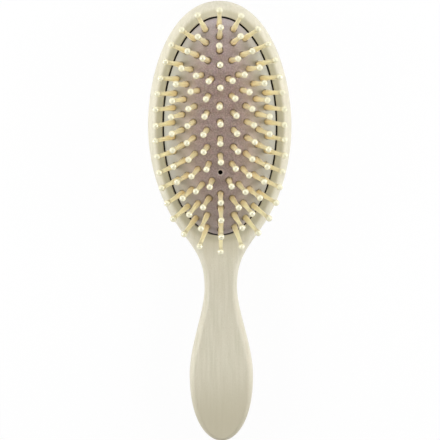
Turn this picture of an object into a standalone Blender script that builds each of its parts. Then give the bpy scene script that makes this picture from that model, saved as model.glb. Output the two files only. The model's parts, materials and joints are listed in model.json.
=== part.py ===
"""An oval cushion hair brush that lies on its flat back with its pins up.

Frame: metres, +Z up out of the pins, +Y towards the crown of the head, +X right.
The origin is under the middle of the brush, on the plane that the flat back rests on.
Pieces: the one-piece body, the rubber air cushion, and the ball-tipped wooden pins, which
stand in four ovals and a centre row. Pins of an oval are joined two by two by a foot plate.
"""

import math

import bmesh
import bpy
from mathutils import Matrix, Vector
from mathutils.geometry import interpolate_bezier

# Body outline, seen from the front
BODY_LENGTH = 0.235
HEAD_WIDTH = 0.075
HEAD_WIDEST_FROM_CROWN = 0.0654
SHOULDER_WIDTH = 0.0482
SHOULDER_FROM_CROWN = 0.1151
SHOULDER_SLOPE = math.radians(33)
NECK_WIDTH = 0.0173
NECK_FROM_CROWN = 0.1508
GRIP_WIDTH = 0.0341
GRIP_WIDEST_FROM_BUTT = 0.0358

# Pull of the outline's curve at each knot, as shares of the sizes that the curve spans
CROWN_PULL_SHARE = 0.68
WIDEST_UP_PULL_SHARE = 0.433
WIDEST_DOWN_PULL_SHARE = 0.51
SHOULDER_UP_PULL_SHARE = 0.143
SHOULDER_DOWN_PULL_SHARE = 0.49
NECK_UP_PULL_SHARE = 0.47
NECK_DOWN_PULL_SHARE = 0.275
GRIP_UP_PULL_SHARE = 0.343
GRIP_DOWN_PULL_SHARE = 0.75
BUTT_PULL_SHARE = 0.42

# Body thickness, edges and the recess for the cushion
BODY_THICKNESS = 0.016
RIM_WIDTH = 0.0077
HEAD_EDGE_SHARE = 0.62
GRIP_EDGE_SHARE = 0.38
BACK_WALL = 0.007
OPENING_LENGTH = 0.114
LIP_THICKNESS = 0.0022
LIP_CHAMFER = 0.0005

# Air cushion
EDGE_GAP = 0.0009
CROWN_HEIGHT = 0.008
MEMBRANE_THICKNESS = 0.0013
FLANGE_REACH = 0.0016
FLANGE_THICKNESS = 0.0013
VENT_DIAMETER = 0.0022
SEAT_CLEARANCE = 0.0003

# Pins
PIN_REACH = 0.020
SHANK_DIAMETER = 0.0029
NECK_DIAMETER = 0.0022
BALL_DIAMETER = 0.0033
PIN_HOLE_CLEARANCE = 0.0003
SHANK_STRAIGHT = 0.003
FOOT_DEPTH = 0.0011
FOOT_THICKNESS = 0.001
FOOT_LEDGE = 0.00035

# The pin field: ovals as shares of the cushion's half width and half length
FIELD_OFFSET = 0.00055
CENTRE_PITCH = 0.0087
CENTRE_START = 0.0211
CENTRE_PIN_COUNT = 5
CENTRE_FAN_RADIUS = 0.406
OVALS = (
    {"name": "row1", "width_share": 0.845, "length_share": 0.940, "fullness": 2.2, "pins": 34},
    {"name": "row2", "width_share": 0.680, "length_share": 0.847, "fullness": 2.0, "pins": 28},
    {"name": "row3", "width_share": 0.480, "length_share": 0.722, "fullness": 1.85, "pins": 22},
    {"name": "row4", "width_share": 0.242, "length_share": 0.590, "fullness": 2.05, "pins": 16},
)

# Counts of faces and steps
OUTLINE_STEPS = 9
EDGE_STEPS = 8
OVAL_STEPS = 48
DOME_STEPS = 6
PIN_SIDES = 6
HOLE_SIDES = 6
BALL_LATITUDES = (-10, 25, 60)
WALK_STEPS = 720
HALVINGS = 40

# How far a cutter runs past the face that it cuts
CUT_OVERRUN = 0.002

# Sizes that follow
CROWN_Y = BODY_LENGTH / 2
OPENING_HALF_WIDTH = HEAD_WIDTH / 2 - RIM_WIDTH
OPENING_HALF_LENGTH = OPENING_LENGTH / 2
OPENING_Y = CROWN_Y - RIM_WIDTH - OPENING_HALF_LENGTH
CUSHION_HALF_WIDTH = OPENING_HALF_WIDTH - EDGE_GAP
CUSHION_HALF_LENGTH = OPENING_HALF_LENGTH - EDGE_GAP
RIDGE_HALF_LENGTH = CUSHION_HALF_LENGTH - CUSHION_HALF_WIDTH
FLANGE_HALF_WIDTH = OPENING_HALF_WIDTH + FLANGE_REACH
GROOVE_TOP = BODY_THICKNESS - LIP_THICKNESS
FLANGE_TOP = GROOVE_TOP - SEAT_CLEARANCE
FLANGE_BOTTOM = FLANGE_TOP - FLANGE_THICKNESS
GROOVE_BOTTOM = FLANGE_BOTTOM - SEAT_CLEARANCE
SHANK_RADIUS = SHANK_DIAMETER / 2
NECK_RADIUS = NECK_DIAMETER / 2
BALL_RADIUS = BALL_DIAMETER / 2
FOOT_HALF_WIDTH = SHANK_RADIUS + FOOT_LEDGE


def clear_scene():
    for thing in list(bpy.data.objects):
        bpy.data.objects.remove(thing, do_unlink=True)


def material(name, colour, roughness):
    made = bpy.data.materials.new(name)
    made.use_nodes = True
    shader = made.node_tree.nodes["Principled BSDF"]
    shader.inputs["Base Color"].default_value = (*colour, 1)
    shader.inputs["Roughness"].default_value = roughness
    shader.inputs["Metallic"].default_value = 0
    return made


def put_in_scene(name, mesh_builder, finish, place=None):
    """Turns a bmesh into a smooth-shaded object of the scene."""
    bmesh.ops.recalc_face_normals(mesh_builder, faces=mesh_builder.faces)
    mesh = bpy.data.meshes.new(name)
    mesh_builder.to_mesh(mesh)
    mesh_builder.free()
    mesh.shade_smooth()
    mesh.set_sharp_from_angle(angle=math.radians(40))
    thing = bpy.data.objects.new(name, mesh)
    if finish is not None:
        thing.data.materials.append(finish)
    if place is not None:
        thing.matrix_world = place
    bpy.context.scene.collection.objects.link(thing)
    return thing


def hide_as_cutter(thing):
    thing.hide_render = True
    thing.display_type = "WIRE"


def bridge(builder, lower, upper):
    """Faces between two closed loops of as many points."""
    count = len(lower)
    for step in range(count):
        after = (step + 1) % count
        builder.faces.new((lower[step], lower[after], upper[after], upper[step]))


# Body


def outline_knots():
    """Right-hand knots from crown to butt: place, pull before and pull after."""
    crown = Vector((0, CROWN_Y))
    widest = Vector((HEAD_WIDTH / 2, CROWN_Y - HEAD_WIDEST_FROM_CROWN))
    shoulder = Vector((SHOULDER_WIDTH / 2, CROWN_Y - SHOULDER_FROM_CROWN))
    neck = Vector((NECK_WIDTH / 2, CROWN_Y - NECK_FROM_CROWN))
    grip = Vector((GRIP_WIDTH / 2, GRIP_WIDEST_FROM_BUTT - CROWN_Y))
    butt = Vector((0, -CROWN_Y))
    down = Vector((0, -1))
    across = Vector((1, 0))
    inward = Vector((-math.sin(SHOULDER_SLOPE), -math.cos(SHOULDER_SLOPE)))
    to_shoulder = widest.y - shoulder.y
    to_neck = shoulder.y - neck.y
    to_grip = neck.y - grip.y
    return (
        (crown, None, crown + across * widest.x * CROWN_PULL_SHARE),
        (
            widest,
            widest - down * HEAD_WIDEST_FROM_CROWN * WIDEST_UP_PULL_SHARE,
            widest + down * to_shoulder * WIDEST_DOWN_PULL_SHARE,
        ),
        (
            shoulder,
            shoulder - inward * to_shoulder * SHOULDER_UP_PULL_SHARE,
            shoulder + inward * to_neck * SHOULDER_DOWN_PULL_SHARE,
        ),
        (
            neck,
            neck - down * to_neck * NECK_UP_PULL_SHARE,
            neck + down * to_grip * NECK_DOWN_PULL_SHARE,
        ),
        (
            grip,
            grip - down * to_grip * GRIP_UP_PULL_SHARE,
            grip + down * GRIP_WIDEST_FROM_BUTT * GRIP_DOWN_PULL_SHARE,
        ),
        (butt, butt + across * grip.x * BUTT_PULL_SHARE, None),
    )


def body_outline():
    """The closed outline, clockwise from the crown, as places and outward normals."""
    knots = outline_knots()
    right = []
    for (start, _, leave), (end, arrive, _) in zip(knots, knots[1:]):
        steps = OUTLINE_STEPS + 1
        points = interpolate_bezier(start.to_3d(), leave.to_3d(), arrive.to_3d(), end.to_3d(), steps)
        right += [point.to_2d() for point in points[:-1]]
    butt = knots[-1][0]
    left = [Vector((-point.x, point.y)) for point in reversed(right[1:])]
    places = [*right, butt, *left]
    normals = []
    for index, _ in enumerate(places):
        along = places[(index + 1) % len(places)] - places[index - 1]
        normals.append(Vector((-along.y, along.x)).normalized())
    return places, normals


def edge_round(y):
    """How far in from the outline the flat faces begin, at this place along the body."""
    head = RIM_WIDTH * HEAD_EDGE_SHARE
    grip = NECK_WIDTH / 2 * GRIP_EDGE_SHARE
    top = OPENING_Y - OPENING_HALF_LENGTH
    bottom = CROWN_Y - NECK_FROM_CROWN
    share = min(max((y - bottom) / (top - bottom), 0), 1)
    share = share * share * (3 - 2 * share)
    return grip + (head - grip) * share


def oval(builder, half_width, ridge_half_length, z, centre_y):
    """A ring of points on an ellipse that is as much longer than wide as the ridge is long."""
    ring = []
    for step in range(OVAL_STEPS):
        turn = math.tau * step / OVAL_STEPS
        x = half_width * math.sin(turn)
        y = (half_width + ridge_half_length) * math.cos(turn)
        ring.append(builder.verts.new((x, centre_y + y, z)))
    return ring


def lofted(rings_of, profile):
    """A closed body through rings, from the first capped ring to the last capped one."""
    builder = bmesh.new()
    rings = [rings_of(builder, *step) for step in profile]
    for lower, upper in zip(rings, rings[1:]):
        bridge(builder, lower, upper)
    builder.faces.new(rings[0])
    builder.faces.new(rings[-1])
    return builder


def recess_cutter():
    """The opening, its undercut groove and the air chamber below, as one solid."""
    ridge = OPENING_HALF_LENGTH - OPENING_HALF_WIDTH
    chamber = OPENING_HALF_WIDTH
    groove = FLANGE_HALF_WIDTH + SEAT_CLEARANCE
    flare = OPENING_HALF_WIDTH + LIP_CHAMFER
    profile = (
        (chamber, BACK_WALL),
        (chamber, GROOVE_BOTTOM),
        (groove, GROOVE_BOTTOM),
        (groove, GROOVE_TOP),
        (OPENING_HALF_WIDTH, GROOVE_TOP),
        (OPENING_HALF_WIDTH, BODY_THICKNESS - LIP_CHAMFER),
        (flare, BODY_THICKNESS),
        (flare, BODY_THICKNESS + CUT_OVERRUN),
    )

    def ring(builder, half_width, z):
        return oval(builder, half_width, ridge, z, OPENING_Y)

    cutter = put_in_scene("recess_cutter", lofted(ring, profile), None)
    hide_as_cutter(cutter)
    return cutter


def make_body(finish):
    """Head and handle in one piece: flat front and back with rounded edges."""
    places, normals = body_outline()
    half = BODY_THICKNESS / 2

    def ring(builder, turn):
        made = []
        for place, normal in zip(places, normals):
            inset = edge_round(place.y) * (1 - math.cos(turn))
            spot = place - normal * inset
            made.append(builder.verts.new((spot.x, spot.y, half + half * math.sin(turn))))
        return made

    turns = [(math.pi * (step / EDGE_STEPS - 1 / 2),) for step in range(EDGE_STEPS + 1)]
    body = put_in_scene("brush_body", lofted(ring, turns), finish)
    cut = body.modifiers.new("recess", "BOOLEAN")
    cut.operation = "DIFFERENCE"
    cut.solver = "EXACT"
    cut.object = recess_cutter()
    return body


# Places on the cushion


def level_half_width(x, y):
    """Half width of the oval through a place, measured from the cushion's centre."""
    low = 0.0
    high = CUSHION_HALF_WIDTH
    for _ in range(HALVINGS):
        middle = (low + high) / 2
        reach = (x / middle) ** 2 + (y / (middle + RIDGE_HALF_LENGTH)) ** 2
        if reach > 1:
            low = middle
        else:
            high = middle
    return high


def dome_height(half_width):
    """Height of the dome over the rim, on the oval of this half width."""
    share = min(half_width / CUSHION_HALF_WIDTH, 1)
    return CROWN_HEIGHT * math.sqrt(1 - share * share)


def dome_lean(half_width):
    """Angle between the dome's normal and the vertical, on the oval of this half width."""
    share = half_width / CUSHION_HALF_WIDTH
    return math.atan(CROWN_HEIGHT / CUSHION_HALF_WIDTH * share / math.sqrt(1 - share * share))


def pin_place(x, y, lean, outward):
    """Where a pin leaves the dome, and the way it points."""
    height = dome_height(level_half_width(x, y - OPENING_Y))
    foot = Vector((x, y, BODY_THICKNESS + height))
    flat = outward.to_3d() * math.sin(lean)
    return foot, flat + Vector((0, 0, math.cos(lean)))


def oval_pins(row):
    """Pins at equal steps round one oval, from its crown end, turning to the left."""
    half_width = CUSHION_HALF_WIDTH * row["width_share"]
    half_length = CUSHION_HALF_LENGTH * row["length_share"]
    power = 2 / row["fullness"]
    lean = dome_lean(half_width)
    track = []
    for step in range(WALK_STEPS + 1):
        turn = math.tau * step / WALK_STEPS
        across = math.copysign(abs(math.sin(turn)) ** power, math.sin(turn))
        along = math.copysign(abs(math.cos(turn)) ** power, math.cos(turn))
        track.append(Vector((-half_width * across, half_length * along)))
    walked = [0.0]
    for here, there in zip(track, track[1:]):
        walked.append(walked[-1] + (there - here).length)
    pins = []
    segment = 0
    for number in range(row["pins"]):
        target = walked[-1] * number / row["pins"]
        while walked[segment + 1] < target:
            segment += 1
        share = (target - walked[segment]) / (walked[segment + 1] - walked[segment])
        spot = track[segment].lerp(track[segment + 1], share)
        steepness = 2 / power - 1
        outward = Vector(
            (
                math.copysign((abs(spot.x) / half_width) ** steepness / half_width, spot.x),
                math.copysign((abs(spot.y) / half_length) ** steepness / half_length, spot.y),
            )
        ).normalized()
        pins.append(pin_place(spot.x, spot.y + OPENING_Y - FIELD_OFFSET, lean, outward))
    return pins


def centre_row():
    """Places along the centre line: five pins that fan a little, then the vent."""
    places = []
    for number in range(CENTRE_PIN_COUNT + 1):
        y = CENTRE_START - CENTRE_PITCH * number
        lean = y / CENTRE_FAN_RADIUS
        places.append(pin_place(0, y + OPENING_Y, lean, Vector((0, 1))))
    return places


# Cushion


def make_cushion(finish, pins, vent):
    """A domed membrane with a skirt and a flange, pierced for the pins and the vent."""
    outer = []
    inner = []
    inner_half_width = CUSHION_HALF_WIDTH - MEMBRANE_THICKNESS
    for step in range(DOME_STEPS):
        turn = math.pi / 2 * step / DOME_STEPS
        height = BODY_THICKNESS + CROWN_HEIGHT * math.sin(turn)
        outer.append((CUSHION_HALF_WIDTH * math.cos(turn), height))
        height = BODY_THICKNESS + (CROWN_HEIGHT - MEMBRANE_THICKNESS) * math.sin(turn)
        inner.append((inner_half_width * math.cos(turn), height))
    profile = (
        *reversed(inner),
        (inner_half_width, FLANGE_BOTTOM),
        (FLANGE_HALF_WIDTH, FLANGE_BOTTOM),
        (FLANGE_HALF_WIDTH, FLANGE_TOP),
        (CUSHION_HALF_WIDTH, FLANGE_TOP),
        *outer,
    )

    def ring(builder, half_width, z):
        return oval(builder, half_width, RIDGE_HALF_LENGTH, z, OPENING_Y)

    cushion = put_in_scene("air_cushion", lofted(ring, profile), finish)
    holes = bmesh.new()
    radius = (SHANK_RADIUS + PIN_HOLE_CLEARANCE) / math.cos(math.pi / HOLE_SIDES)
    for foot, axis in pins:
        add_hole(holes, foot, axis, radius)
    add_hole(holes, *vent, VENT_DIAMETER / 2)
    cutter = put_in_scene("hole_cutter", holes, None)
    hide_as_cutter(cutter)
    cut = cushion.modifiers.new("holes", "BOOLEAN")
    cut.operation = "DIFFERENCE"
    cut.solver = "EXACT"
    cut.object = cutter
    return cushion


def add_hole(builder, foot, axis, radius):
    """A prism across the membrane, square to a pin."""
    turn = axis.to_track_quat("Z", "Y").to_matrix().to_4x4()
    depth = 2 * (MEMBRANE_THICKNESS + CUT_OVERRUN)
    bmesh.ops.create_cone(
        builder,
        cap_ends=True,
        segments=HOLE_SIDES,
        radius1=radius,
        radius2=radius,
        depth=depth,
        matrix=Matrix.Translation(foot) @ turn,
    )


# Pins


def pin_profile():
    """Radius and height along a pin, from under its foot to the ball, without the tip."""
    low = -MEMBRANE_THICKNESS - FOOT_DEPTH - FOOT_THICKNESS / 2
    neck_drop = math.sqrt(BALL_RADIUS**2 - NECK_RADIUS**2)
    profile = [
        (SHANK_RADIUS, low),
        (SHANK_RADIUS, SHANK_STRAIGHT),
        (NECK_RADIUS, PIN_REACH - neck_drop),
    ]
    for latitude in BALL_LATITUDES:
        turn = math.radians(latitude)
        profile.append((BALL_RADIUS * math.cos(turn), PIN_REACH + BALL_RADIUS * math.sin(turn)))
    return profile


def add_pin(builder, place):
    """One ball-tipped pin, in the place that the matrix gives."""
    rings = []
    for radius, height in pin_profile():
        ring = []
        for side in range(PIN_SIDES):
            turn = math.tau * side / PIN_SIDES
            spot = Vector((radius * math.cos(turn), radius * math.sin(turn), height))
            ring.append(builder.verts.new(place @ spot))
        rings.append(ring)
    for lower, upper in zip(rings, rings[1:]):
        bridge(builder, lower, upper)
    builder.faces.new(rings[0])
    tip = builder.verts.new(place @ Vector((0, 0, PIN_REACH + BALL_RADIUS)))
    for side in range(PIN_SIDES):
        builder.faces.new((rings[-1][side], rings[-1][(side + 1) % PIN_SIDES], tip))


def add_foot_plate(builder, span):
    """A flat plate with clipped ends under the pins, its long side along X."""
    top = -MEMBRANE_THICKNESS - FOOT_DEPTH
    clip = FOOT_HALF_WIDTH * math.tan(math.pi / 8)
    reach = span / 2 + FOOT_HALF_WIDTH
    inner = reach - FOOT_HALF_WIDTH + clip
    corners = (
        (reach, -clip),
        (reach, clip),
        (inner, FOOT_HALF_WIDTH),
        (-inner, FOOT_HALF_WIDTH),
        (-reach, clip),
        (-reach, -clip),
        (-inner, -FOOT_HALF_WIDTH),
        (inner, -FOOT_HALF_WIDTH),
    )
    lower = [builder.verts.new((x, y, top - FOOT_THICKNESS)) for x, y in corners]
    upper = [builder.verts.new((x, y, top)) for x, y in corners]
    bridge(builder, lower, upper)
    builder.faces.new(lower)
    builder.faces.new(upper)


def frame_along(origin, axis, side):
    """A matrix at the origin with Z along the axis and X towards the side."""
    z = axis.normalized()
    y = z.cross(side).normalized()
    x = y.cross(z)
    return Matrix.Translation(origin) @ Matrix((x, y, z)).transposed().to_4x4()


def make_pins(name, pins, finish):
    """One pin, or two neighbours, on a foot plate. The origin is on the way that they press in."""
    origin = sum((foot for foot, _ in pins), Vector()) / len(pins)
    axis = sum((way for _, way in pins), Vector()).normalized()
    side = pins[-1][0] - pins[0][0]
    span = side.length
    if len(pins) == 1:
        side = Vector((1, 0, 0))
    home = frame_along(origin, axis, side)
    plate = bmesh.new()
    add_foot_plate(plate, span)
    thing = put_in_scene(name, plate, finish, home)
    for number, (foot, way) in enumerate(pins):
        shape = bmesh.new()
        add_pin(shape, home.inverted() @ frame_along(foot, way, side))
        pin = put_in_scene(f"{name}_pin_{number}", shape, None, home)
        hide_as_cutter(pin)
        join = thing.modifiers.new(f"pin_{number}", "BOOLEAN")
        join.operation = "UNION"
        join.solver = "EXACT"
        join.object = pin
    return thing


def main():
    clear_scene()
    body_finish = material("pale_fibre_wood", (0.60, 0.56, 0.45), 0.6)
    rubber = material("grey_rubber", (0.34, 0.27, 0.25), 0.7)
    pin_wood = material("waxed_pale_wood", (0.86, 0.76, 0.50), 0.4)
    make_body(body_finish)
    *centre, vent = centre_row()
    every_pin = list(centre)
    for row in OVALS:
        pins = oval_pins(row)
        every_pin += pins
        for number in range(len(pins) // 2):
            pair = pins[2 * number : 2 * number + 2]
            make_pins(f"{row['name']}_pins_{number + 1:02d}", pair, pin_wood)
    for number, pin in enumerate(centre):
        make_pins(f"centre_pin_{number + 1}", [pin], pin_wood)
    make_cushion(rubber, every_pin, vent)


main()
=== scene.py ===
"""The finish of the oval cushion hair brush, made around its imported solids.

The brush lies on its flat back on a pale floor, pins up, seen from above. The body, the air
cushion and every turned pin are fine meshes that stand for the coarse solids of the frame.
"""

import json
import math
import random

import bmesh
import bpy
from mathutils import Matrix, Vector
from mathutils.geometry import interpolate_bezier


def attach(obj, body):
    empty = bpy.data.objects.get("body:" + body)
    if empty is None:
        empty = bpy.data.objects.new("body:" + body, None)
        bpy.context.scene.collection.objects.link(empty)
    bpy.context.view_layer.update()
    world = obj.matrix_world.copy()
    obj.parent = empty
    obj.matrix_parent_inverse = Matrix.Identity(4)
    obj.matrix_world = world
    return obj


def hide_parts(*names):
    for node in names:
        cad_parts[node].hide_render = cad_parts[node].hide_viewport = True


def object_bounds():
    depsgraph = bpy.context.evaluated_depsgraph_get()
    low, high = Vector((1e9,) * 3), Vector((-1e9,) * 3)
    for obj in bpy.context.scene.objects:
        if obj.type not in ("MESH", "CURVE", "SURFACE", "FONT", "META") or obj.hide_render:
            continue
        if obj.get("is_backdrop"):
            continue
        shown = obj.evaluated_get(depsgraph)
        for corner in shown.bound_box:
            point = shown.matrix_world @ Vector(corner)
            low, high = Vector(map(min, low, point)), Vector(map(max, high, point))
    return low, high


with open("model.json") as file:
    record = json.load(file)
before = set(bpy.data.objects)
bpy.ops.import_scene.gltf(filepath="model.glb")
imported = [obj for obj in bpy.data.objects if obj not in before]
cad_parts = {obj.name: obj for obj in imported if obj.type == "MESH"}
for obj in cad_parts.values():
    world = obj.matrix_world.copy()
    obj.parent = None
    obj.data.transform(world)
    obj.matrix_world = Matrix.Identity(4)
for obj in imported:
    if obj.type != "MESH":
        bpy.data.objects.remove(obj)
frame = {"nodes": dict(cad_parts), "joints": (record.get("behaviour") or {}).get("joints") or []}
cad_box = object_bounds()

# Body outline, seen from the front
BODY_LENGTH = 0.235
HEAD_WIDTH = 0.075
HEAD_WIDEST_FROM_CROWN = 0.0654
SHOULDER_WIDTH = 0.0482
SHOULDER_FROM_CROWN = 0.1151
SHOULDER_SLOPE = math.radians(33)
NECK_WIDTH = 0.0173
NECK_FROM_CROWN = 0.1508
GRIP_WIDTH = 0.0341
GRIP_WIDEST_FROM_BUTT = 0.0358

# Pull of the outline's curve at each knot, as shares of the sizes that the curve spans
CROWN_PULL_SHARE = 0.68
WIDEST_UP_PULL_SHARE = 0.433
WIDEST_DOWN_PULL_SHARE = 0.51
SHOULDER_UP_PULL_SHARE = 0.143
SHOULDER_DOWN_PULL_SHARE = 0.49
NECK_UP_PULL_SHARE = 0.47
NECK_DOWN_PULL_SHARE = 0.275
GRIP_UP_PULL_SHARE = 0.343
GRIP_DOWN_PULL_SHARE = 0.75
BUTT_PULL_SHARE = 0.42

# Body thickness, edges and the recess for the cushion
BODY_THICKNESS = 0.016
RIM_WIDTH = 0.0077
# How much of the rim, and of half the neck, the rounded edge takes
HEAD_EDGE_SHARE = 0.62
GRIP_EDGE_SHARE = 0.38
BACK_WALL = 0.007
OPENING_LENGTH = 0.114
LIP_THICKNESS = 0.0022
LIP_ROUND = 0.0005
# Shade where the lip's round ends, between 0 on the front and 1 in the recess. The round takes a painted
# highlight, and the recess inside it painted shade
LIP_SHARE = 0.5

# Air cushion
EDGE_GAP = 0.0009
CROWN_HEIGHT = 0.008
MEMBRANE_THICKNESS = 0.0013
FLANGE_REACH = 0.0016
FLANGE_THICKNESS = 0.0013
VENT_RADIUS = 0.0011
SEAT_CLEARANCE = 0.0003

# Play between a shank and its hole, on each side
PIN_HOLE_CLEARANCE = 0.00013

# Sockets, from the dome in to the hole: reach past the hole's edge, lift off the dome, and shade,
# which runs from -1, pale, to 1, dark
PIN_SOCKET = (
    (0.0004, 0.0, 0.0),
    (0.00026, -0.00003, 0.06),
    (0.00014, -0.0001, 0.16),
    (0.00005, -0.0002, 0.3),
    (0.0, -0.00034, 0.45),
)
VENT_SOCKET = (
    (0.0008, 0.0, 0.0),
    (0.00062, 0.00007, -0.5),
    (0.0004, 0.00012, -1.0),
    (0.0002, 0.00009, -0.8),
    (0.0, -0.00006, 0.45),
)
# How much wider than its socket the dome is opened
SOCKET_MARGIN = 0.00015

# Pins
PIN_REACH = 0.020
SHANK_DIAMETER = 0.0029
NECK_DIAMETER = 0.0021
BALL_DIAMETER = 0.0033
SHANK_STRAIGHT = 0.003
TAPER_START = 0.0026
TAPER_END = 0.0118
FOOT_DEPTH = 0.0011
FOOT_THICKNESS = 0.001
FOOT_LEDGE = 0.00035
# The most that a pin leans at random, along each of two directions
PIN_TILT = math.radians(1.1)

# Where the painted shade round the recess fades, outwards from its edge
RIM_SHADE_START = 0.0020
RIM_SHADE_END = 0.0047

# Where the duller tone below the recess, towards the neck, has faded
THROAT_TONE_END = 0.013

# Where the painted shade on the grip begins towards the butt, and where it is darkest
BUTT_SHADE_START_FROM_BUTT = 0.048
BUTT_SHADE_DARKEST_FROM_BUTT = 0.012

# Lengths of the grain across the brush, along it and through it
WOOD_BANDS = (0.0016, 0.024, 0.0026)
WOOD_FIBRES = (0.00034, 0.0016, 0.00034)
WOOD_SPECKS = (0.0005, 0.0007, 0.0005)
WOOD_CLOUDS = (0.009, 0.018, 0.009)
RUBBER_MOTTLE = (0.0022, 0.0022, 0.0022)
RUBBER_SPECKS = (0.0008, 0.0008, 0.0008)
RUBBER_POWDER = (0.0004, 0.0004, 0.0004)
# The grain of a turned pin, which stands on Z, and the most that it is shifted from pin to pin
PIN_VEINS = (0.0005, 0.0005, 0.006)
PIN_VEIN_SHIFT = 50.0

# Heights of the finest relief
WOOD_RELIEF = 0.00004
RUBBER_RELIEF = 0.00002
PIN_RELIEF = 0.00003

# Colours as a screen shows them, from 0 to 255
WOOD_DULL = (207, 202, 179)
WOOD_PALE = (220, 215, 195)
WOOD_CLOUD = (219, 210, 190)
WOOD_FIBRE = (196, 188, 158)
WOOD_SPECK = (234, 231, 213)
# Painted shade on the grip towards the butt
WOOD_BUTT_SHADE = (190, 182, 156)
WOOD_BELOW_RECESS = (188, 180, 156)
# Painted shade on the flat round the recess
WOOD_RIM_PAINTED_SHADE = (170, 165, 138)
# Painted highlight on the lip's round
LIP_PAINTED_HIGHLIGHT = (238, 230, 206)
# Painted shade in the recess
RECESS_PAINTED_SHADE = (70, 60, 44)
RUBBER_MAUVE = (189, 165, 181)
RUBBER_GREY = (186, 175, 180)
RUBBER_POWDERED = (198, 187, 192)
RUBBER_DARK_SPECK = (154, 134, 146)
RUBBER_PALE_SPECK = (222, 206, 216)
# Painted light and sheen on the rubber's sides, in the next two colours
RUBBER_SIDE_LIGHT = (212, 200, 196)
RUBBER_SIDE_SHEEN = (168, 167, 150)
# Painted shade at the low end of the dome
RUBBER_LOWER_SHADE = (140, 128, 118)
RUBBER_HIGH_END = (150, 138, 132)
RUBBER_VENT_LIP = (214, 205, 202)
RUBBER_SHADED = (34, 27, 22)
PIN_FOOT_TAN = (255, 231, 182)
PIN_FOOT_CREAM = (255, 241, 197)
PIN_SHANK_CREAM = (255, 243, 200)
PIN_SHANK_PALE = (255, 251, 214)
PIN_VEIN = (232, 204, 154)
# The ball's cream, darkened as painted shade on its top
BALL_PAINTED_SHADE = (231, 226, 191)
PIN_SHEEN = (255, 234, 190)

# Counts of faces and steps
OUTLINE_STEPS = 40
EDGE_STEPS = 24
OVAL_STEPS = 260
DOME_STEPS = 56
LIP_STEPS = 5
PIN_SIDES = 16
SHANK_STEPS = 9
BALL_STEPS = 8
HALVINGS = 30
SETTLING_STEPS = 8

# How the meshes are put together
SUPPORT_WIDTH = 0.00015
MERGE_DISTANCE = 0.00001
# Faces within this many hole radii of a pin's foot are looked at when its hole is cut
HOLE_RADII_LOOKED_AT = 3
# Decimals of a metre at which two corners of a solid are one
CORNER_DECIMALS = 7

# Camera, floor and lamps
CAMERA_DISTANCE = 0.75
CAMERA_TILT = math.radians(9.4)
CAMERA_ASIDE = math.radians(0.6)
CAMERA_ROLL = math.radians(0.37)
CAMERA_LOOKS_AT = Vector((-0.00027, 0.00424, BODY_THICKNESS))
# How wide the picture is at the place that the camera looks at
FRAME_WIDTH_THERE = 0.2301
SENSOR_WIDTH_MM = 36
FLOOR_SIZE = 6.0
FLOOR_GREY = 0.9
FLOOR_WHITE_SHARE = 0.95
# The floor lies this far under the flat back, and rays shorter than its reach pass through it
FLOOR_GAP = 0.0002
FLOOR_REACH = 0.001
FILL_LIGHT = 0.31
FILL_FROM_BELOW = 0.8
# The gap in the pale surroundings over the brush, as angles from straight up
CEILING_GAP_EDGE = math.radians(42)
CEILING_GAP_DARKEST = math.radians(18)
# Name, place, size and power
SOFTBOXES = (
    ("left_softbox", (-0.42, 0.04, 0.21), (0.3, 0.2), 1.38),
    ("right_softbox", (0.42, 0.04, 0.21), (0.3, 0.2), 1.43),
    ("crown_softbox", (0, 0.48, 0.25), (0.4, 0.2), 0.98),
    ("butt_softbox", (0, -0.48, 0.25), (0.4, 0.2), 0.3),
)

# Sizes that follow
CROWN_Y = BODY_LENGTH / 2
OPENING_HALF_WIDTH = HEAD_WIDTH / 2 - RIM_WIDTH
OPENING_HALF_LENGTH = OPENING_LENGTH / 2
OPENING_Y = CROWN_Y - RIM_WIDTH - OPENING_HALF_LENGTH
CUSHION_HALF_WIDTH = OPENING_HALF_WIDTH - EDGE_GAP
CUSHION_HALF_LENGTH = OPENING_HALF_LENGTH - EDGE_GAP
RIDGE_HALF_LENGTH = CUSHION_HALF_LENGTH - CUSHION_HALF_WIDTH
FLANGE_HALF_WIDTH = OPENING_HALF_WIDTH + FLANGE_REACH
GROOVE_TOP = BODY_THICKNESS - LIP_THICKNESS
FLANGE_TOP = GROOVE_TOP - SEAT_CLEARANCE
FLANGE_BOTTOM = FLANGE_TOP - FLANGE_THICKNESS
GROOVE_BOTTOM = FLANGE_BOTTOM - SEAT_CLEARANCE
SHANK_RADIUS = SHANK_DIAMETER / 2
NECK_RADIUS = NECK_DIAMETER / 2
BALL_RADIUS = BALL_DIAMETER / 2

# What the tree of the turned pins is given
PIN_SIZES = {
    "Reach": PIN_REACH,
    "Shank Radius": SHANK_RADIUS,
    "Neck Radius": NECK_RADIUS,
    "Ball Radius": BALL_RADIUS,
    "Taper Start": TAPER_START,
    "Taper End": TAPER_END,
    "Plate Depth": MEMBRANE_THICKNESS + FOOT_DEPTH,
    "Plate Thickness": FOOT_THICKNESS,
    "Plate Half Width": SHANK_RADIUS + FOOT_LEDGE,
}


# Node trees


def add(tree, kind, inputs=None, **settings):
    """A new node. An input that is given a socket is linked to it, and any other is set."""
    made = tree.nodes.new(kind)
    for name, value in settings.items():
        setattr(made, name, value)
    for key, value in (inputs or {}).items():
        if isinstance(value, bpy.types.NodeSocket):
            tree.links.new(value, made.inputs[key])
        else:
            made.inputs[key].default_value = value
    return made


def calculated(tree, operation, first, second=0.0):
    """The result of a sum on two numbers or sockets."""
    return add(tree, "ShaderNodeMath", {0: first, 1: second}, operation=operation).outputs[0]


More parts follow.
